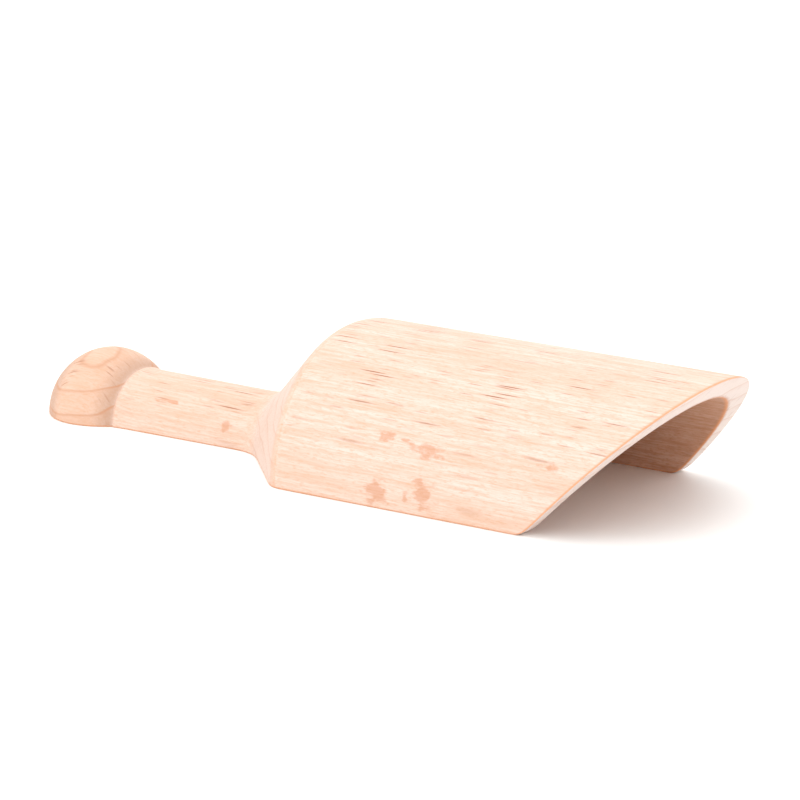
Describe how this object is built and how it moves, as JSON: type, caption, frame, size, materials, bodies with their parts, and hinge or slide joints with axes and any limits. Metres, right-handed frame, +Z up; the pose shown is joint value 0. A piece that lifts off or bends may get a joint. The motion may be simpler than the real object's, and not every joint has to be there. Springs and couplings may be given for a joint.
{
  "type": "scoop",
  "caption": "Small half-round wooden scoop turned in one piece: bored bowl with slanted mouth, coned back, short handle and half-ball knob, lying open side down.",
  "frame": {"origin": "middle of the length, on the flat sawn underside, on the scoop's mid-plane", "axes": "+X along the scoop towards the mouth, Y across, +Z up from the flat underside, with the hollow side down"},
  "size_m": [0.0796, 0.0278, 0.014],
  "materials": {
    "beech": "turned and sanded beech, bare, with lightly burnished arrises"
  },
  "bodies": {
    "root": {"scoop": "beech"}
  },
  "joints": []
}
